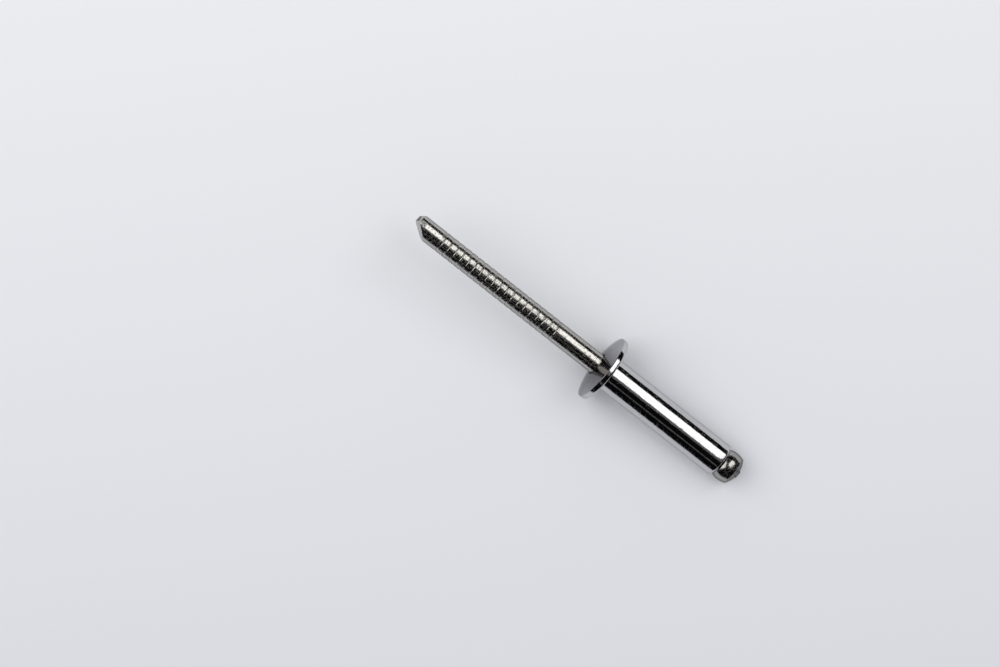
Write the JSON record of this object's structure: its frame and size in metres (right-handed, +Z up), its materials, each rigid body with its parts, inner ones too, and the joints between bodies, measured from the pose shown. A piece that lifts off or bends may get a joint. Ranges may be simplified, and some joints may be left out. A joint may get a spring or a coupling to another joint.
{
  "type": "pop rivet",
  "caption": "Open-end blind rivet with a domed head, not yet set: a bright steel sleeve on a pull mandrel with grip rings, a pinched tip and a barrel-shaped head.",
  "frame": {"origin": "on the surface the rivet lies on, under the centre of its outline", "axes": "+X along the rivet's length towards the mandrel head, +Y across it, +Z up; the rivet's own axis lies in the XZ plane and drops 6.77 degrees towards +X"},
  "size_m": [0.0558, 0.0096, 0.01],
  "materials": {
    "sleeve_steel": "bright polished",
    "mandrel_steel": "bright drawn"
  },
  "bodies": {
    "root": {"rivet_body": "sleeve_steel", "mandrel": "mandrel_steel"}
  },
  "joints": []
}
